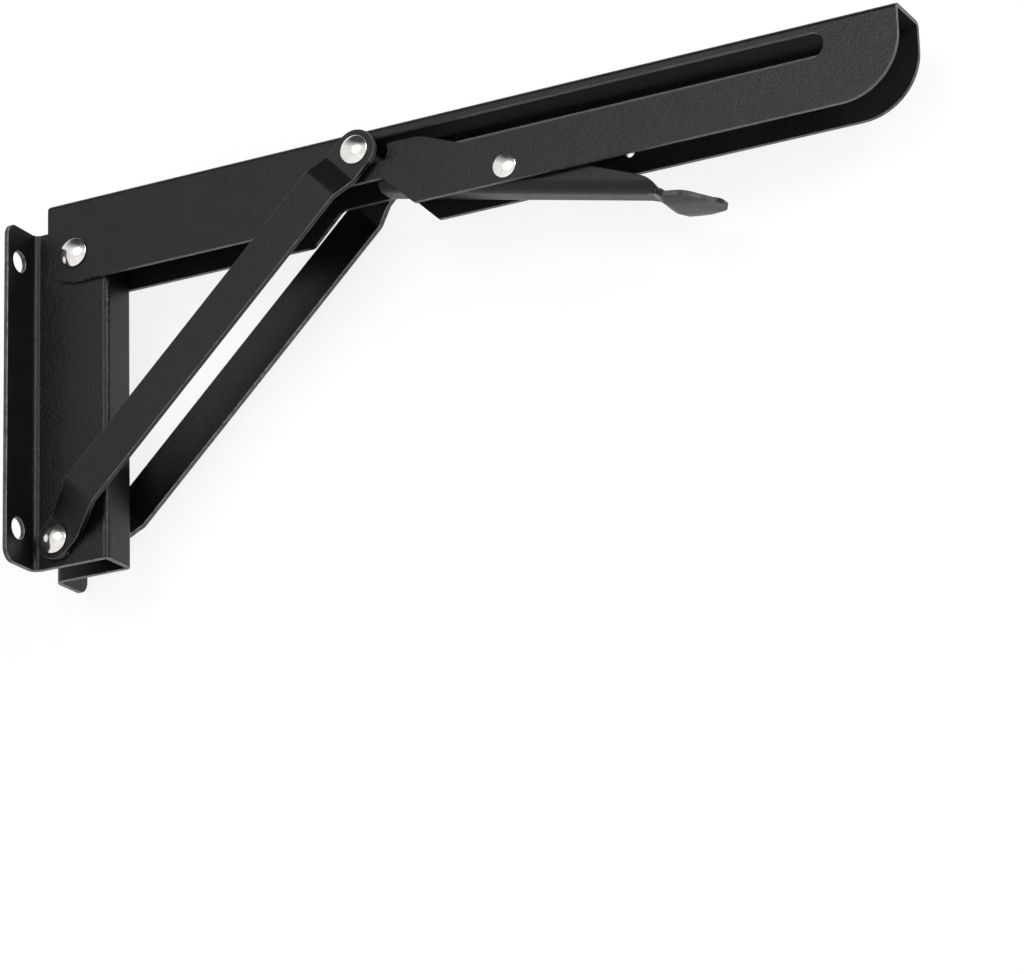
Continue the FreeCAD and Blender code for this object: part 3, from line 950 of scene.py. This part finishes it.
@dataclass
class LeverSpring:
    """The lever's torsion spring: a press leg, a coil round the lever's rivet and a leg hooked in the arm."""

    name: str = "coil_spring"
    node: str = "lever_spring"
    body: str = "arm"
    pressed_body: str = "lever"
    slot: str = "spring_steel"
    wire_radius: float = 0.5 * MM
    coil_radius: float = 3.4 * MM
    coil_half_length: float = 1.5 * MM
    whole_turns: int = 2
    steps_per_turn: int = 48
    sides: int = 14
    press_point: tuple[float, float] = (16.44 * MM, -8.91 * MM)
    hook_bend: float = 1.5 * MM
    step: float = 0.45 * MM
    bends_from: float = -4.0 * MM
    bends_to: float = -7.0 * MM

    def axis(self) -> Vector:
        """Finds the middle of the lever's rivet, which the coil sits on."""
        low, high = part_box("lever_pivot_rivet")
        return Vector(((low[0] + high[0]) / 2, 0.0, (low[2] + high[2]) / 2))

    def leg_angle(self, point: tuple[float, float], side: int) -> float:
        """Finds where on the coil a straight leg to a point starts.

        Args:
            point: the leg's end, seen from the side and from the coil's axis.
            side: 1 or -1, the side of the coil that the leg leaves from.

        Returns:
            The angle round the coil.
        """
        return math.atan2(point[1], point[0]) + side * math.acos(self.coil_radius / math.hypot(*point))

    def path(self) -> list[Vector]:
        """Works out the wire's centre line.

        Returns:
            Its points, from the press leg's tip to the hook's end.
        """
        axis = self.axis()
        high = Vector(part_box(self.node)[1])
        hook = (high.x - self.wire_radius - axis.x, HOOK_HEIGHT)
        start = self.leg_angle(self.press_point, -1)
        end = self.leg_angle(hook, 1)
        swept = 2 * math.pi * (self.whole_turns + 1) - (end - start)
        steps = round(swept / (2 * math.pi) * self.steps_per_turn)
        points = [Vector((self.press_point[0], -self.coil_half_length, self.press_point[1]))]
        for step in range(steps + 1):
            share = step / steps
            angle = start - swept * share
            across = self.coil_half_length * (2 * share - 1)
            along, up = math.cos(angle), math.sin(angle)
            points.append(Vector((self.coil_radius * along, across, self.coil_radius * up)))
        inside = high.y - HOOK_DEPTH
        points.append(Vector((hook[0], inside, hook[1])))
        points.append(Vector((hook[0], high.y, hook[1])))
        return [axis + point for point in points]

    def make(self, group: bpy.types.GeometryNodeTree, material: bpy.types.Material) -> bpy.types.Object:
        """Builds the spring.

        Args:
            group: the round bar's Geometry Nodes group.
            material: its finish.

        Returns:
            The finished piece, in place in the scene.
        """
        values = {
            "Radius": self.wire_radius,
            "Corner Radius": self.hook_bend,
            "Sides": self.sides,
            "Step": self.step,
            "Material": material,
        }
        mesh = grown(self.name, self.path(), group, values)
        piece = place_mesh(self.name, mesh, material)
        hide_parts(self.node)
        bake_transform(piece)
        LOG.info(
            "%s: %d faces, from %s to %s", self.name, len(mesh.polygons), self.body, self.pressed_body
        )
        return piece


@dataclass
class PinSleeve:
    """The sleeve on the slide pin's middle, which joins its two bushes and hides the steel."""

    name: str = "slide_pin_sleeve"
    body: str = "slide_pin"
    slot: str = "bush_nylon"
    radius: float = 3.0 * MM
    sides: int = 64
    step: float = 4.0 * MM

    def make(self, group: bpy.types.GeometryNodeTree, material: bpy.types.Material) -> bpy.types.Object:
        """Builds the sleeve between the bushes' outer faces.

        Args:
            group: the round bar's Geometry Nodes group.
            material: its finish.

        Returns:
            The finished piece, riding with the bushes.
        """
        low = Vector(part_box("slide_bush_near")[0])
        high = Vector(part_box("slide_bush_far")[1])
        middle = (low + high) / 2
        path = [Vector((middle.x, low.y, middle.z)), Vector((middle.x, high.y, middle.z))]
        values = {
            "Radius": self.radius,
            "Corner Radius": 0.0,
            "Sides": self.sides,
            "Step": self.step,
            "Material": material,
        }
        mesh = grown(self.name, path, group, values)
        piece = place_mesh(self.name, mesh, material)
        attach(piece, self.body)
        LOG.info("%s: %d faces, rides on %s", self.name, len(mesh.polygons), self.body)
        return piece


# Stage


@dataclass(frozen=True)
class Viewpoint:
    """Where the photograph was taken from."""

    place: tuple[float, float, float] = (0.72507, -1.08563, -0.46759)
    turned: tuple[float, float, float] = (108.57884, 1.81233, 27.70656)
    focal_px: float = 4244.54
    sensor: float = 36.0
    nearest: float = 0.05
    farthest: float = 20.0

    def make(self) -> None:
        """Creates the camera and makes it the scene's."""
        data = bpy.data.cameras.new("viewpoint")
        data.sensor_fit = "HORIZONTAL"
        data.sensor_width = self.sensor
        data.lens = self.focal_px * self.sensor / IMAGE_SIZE[0]
        data.clip_start = self.nearest
        data.clip_end = self.farthest
        camera = bpy.data.objects.new("viewpoint", data)
        camera.location = self.place
        camera.rotation_euler = Euler([math.radians(part) for part in self.turned], "XYZ")
        bpy.context.scene.collection.objects.link(camera)
        bpy.context.scene.camera = camera


@dataclass(frozen=True)
class SoftLamp:
    """One soft box, aimed at the bracket's middle."""

    name: str
    place: tuple[float, float, float]
    width: float
    height: float
    power: float
    aim: tuple[float, float, float] = (0.15, 0.0, 0.0)

    def make(self) -> None:
        """Creates the lamp."""
        data = bpy.data.lights.new(self.name, "AREA")
        data.shape = "ELLIPSE"
        data.size = self.width
        data.size_y = self.height
        data.energy = self.power
        lamp = bpy.data.objects.new(self.name, data)
        lamp.location = self.place
        lamp.rotation_euler = (Vector(self.aim) - Vector(self.place)).to_track_quat("-Z", "Y").to_euler()
        bpy.context.scene.collection.objects.link(lamp)


@dataclass(frozen=True)
class DarkPanel:
    """A dark part of the room that bright metal mirrors: a round patch with a soft edge."""

    direction: tuple[float, float, float]
    inner: float
    outer: float

    def share(self, sketch: NodeSketch, towards: bpy.types.NodeSocket) -> bpy.types.NodeSocket:
        """Gives 0 inside the patch and 1 outside it.

        Args:
            sketch: the surround's nodes.
            towards: the direction that is looked in.

        Returns:
            The share of light.
        """
        dot = sketch.add("ShaderNodeVectorMath", operation="DOT_PRODUCT")
        sketch.join(towards, dot.inputs[0])
        dot.inputs[1].default_value = Vector(self.direction).normalized()
        edges = (math.cos(math.radians(self.outer)), math.cos(math.radians(self.inner)))
        return sketch.spread(dot.outputs["Value"], 1.0, 0.0, *edges)


@dataclass
class Studio:
    """A white board beside the bracket, a pale floor below it, soft lamps and a white surround."""

    board_gap: float = 0.3 * MM
    board_size: float = 6.0
    floor_level: float = -0.27
    ambient: float = 0.55
    wall_light: float = 0.92
    dark_light: float = 0.05
    dark_panels: tuple[DarkPanel, ...] = (DarkPanel((0.10, -0.15, 0.98), 36.0, 59.0),)
    lamps: list[SoftLamp] = field(
        default_factory=lambda: [
            SoftLamp("key", (0.05, -1.5, 0.45), 0.8, 0.75, 8.0),
            SoftLamp("side_strip", (1.60, -0.80, 0.77), 0.22, 1.30, 16.0),
            SoftLamp("back", (0.4, 1.6, 0.9), 1.2, 1.2, 8.0),
        ]
    )

    def board(
        self, name: str, corners: list[tuple[float, float, float]], material: bpy.types.Material
    ) -> None:
        """Adds one flat board.

        Args:
            name: its name.
            corners: its corners, anticlockwise as seen from its front.
            material: its finish.
        """
        mesh = bpy.data.meshes.new(name)
        mesh.from_pydata(corners, [], [tuple(range(len(corners)))])
        place_mesh(name, mesh, material)

    def world(self) -> None:
        """Makes the surround: white where it is seen, a lit room where it is mirrored, softer elsewhere."""
        world = bpy.data.worlds.new("surround")
        bpy.context.scene.world = world
        world.use_nodes = True
        sketch = NodeSketch.on_tree(world.node_tree, "ShaderNodeOutputWorld")
        background = sketch.add("ShaderNodeBackground")
        background.inputs["Color"].default_value = (1.0, 1.0, 1.0, 1.0)
        path = sketch.add("ShaderNodeLightPath")
        seen = sketch.calculate("MAXIMUM", path.outputs["Is Camera Ray"], path.outputs["Is Transmission Ray"])
        mirrored = sketch.calculate("MULTIPLY", path.outputs["Is Glossy Ray"], self.mirrored_light(sketch))
        lighting = sketch.calculate("SUBTRACT", sketch.constant(1.0), path.outputs["Is Glossy Ray"])
        ambient = sketch.calculate("MULTIPLY", lighting, self.ambient)
        either = sketch.calculate("ADD", mirrored, ambient)
        strength = sketch.calculate("MAXIMUM", either, seen)
        sketch.join(strength, background.inputs["Strength"])
        sketch.join(background.outputs["Background"], sketch.output.inputs["Surface"])

    def mirrored_light(self, sketch: NodeSketch) -> bpy.types.NodeSocket:
        """Gives the surround's light as metal mirrors it: white walls with the room's dark patches."""
        towards = sketch.add("ShaderNodeTexCoord").outputs["Generated"]
        lit = sketch.constant(1.0)
        for panel in self.dark_panels:
            lit = sketch.calculate("MULTIPLY", lit, panel.share(sketch, towards))
        return sketch.spread(lit, self.dark_light, self.wall_light, 0.0, 1.0)

    def make(self, finishes: Finishes) -> None:
        """Builds the boards, the lamps and the surround.

        Args:
            finishes: the bracket's materials.
        """
        half = self.board_size / 2
        side = CAD_BOX[1][1] + self.board_gap
        self.board(
            "side_board",
            [(-half, side, -half), (half, side, -half), (half, side, half), (-half, side, half)],
            finishes.board,
        )
        level = self.floor_level
        self.board(
            "floor_board",
            [(-half, -half, level), (half, -half, level), (half, half, level), (-half, half, level)],
            finishes.board,
        )
        for lamp in self.lamps:
            lamp.make()
        self.world()
        LOG.info("studio: two boards, %d lamps", len(self.lamps))


def main() -> None:
    """Builds the bracket's pieces in order, then the studio round them."""
    bpy.context.scene.view_settings.view_transform = "Standard"
    finishes = Finishes.make()
    sheets = [
        SheetPiece("plate_sheet", "wall_plate", "wall_side", "plate_paint"),
        SheetPiece("arm_sheet", "arm_channel", "arm", "arm_paint", 1.5 * MM),
        SheetPiece("near_bar", "strut_bar_near", "struts", "bar_paint"),
        SheetPiece("far_bar", "strut_bar_far", "struts", "bar_paint"),
        SheetPiece("lever_sheet", "release_lever", "lever", "lever_paint"),
    ]
    for sheet in sheets:
        sheet.make(finishes.paint)
    for bush in (
        SheetPiece("near_bush", "slide_bush_near", "slide_pin", "bush_nylon"),
        SheetPiece("far_bush", "slide_bush_far", "slide_pin", "bush_nylon"),
    ):
        bush.make(finishes.nylon)
    domed_rivet = rivet_group()
    for rivet in (
        Rivet("arm_rivet", "arm_pivot_rivet", "wall_side", 2.3 * MM, 3.0 * MM),
        Rivet("foot_rivet", "strut_foot_rivet", "wall_side", 2.2 * MM, 3.0 * MM),
        Rivet("lever_rivet", "lever_pivot_rivet", "arm", 1.3 * MM, 2.5 * MM),
        Rivet("slide_rivet_left", "slide_rivet_near", "struts", 2.2 * MM, 3.0 * MM, (Side.NEAR,)),
        Rivet("slide_rivet_right", "slide_rivet_far", "struts", 2.2 * MM, 3.0 * MM, (Side.FAR,)),
    ):
        rivet.make(domed_rivet, finishes.nickel)
    round_bar = round_bar_group()
    LeverSpring().make(round_bar, finishes.wire)
    PinSleeve().make(round_bar, finishes.nylon)
    Viewpoint().make()
    Studio().make(finishes)


if __name__ == "__main__":
    main()
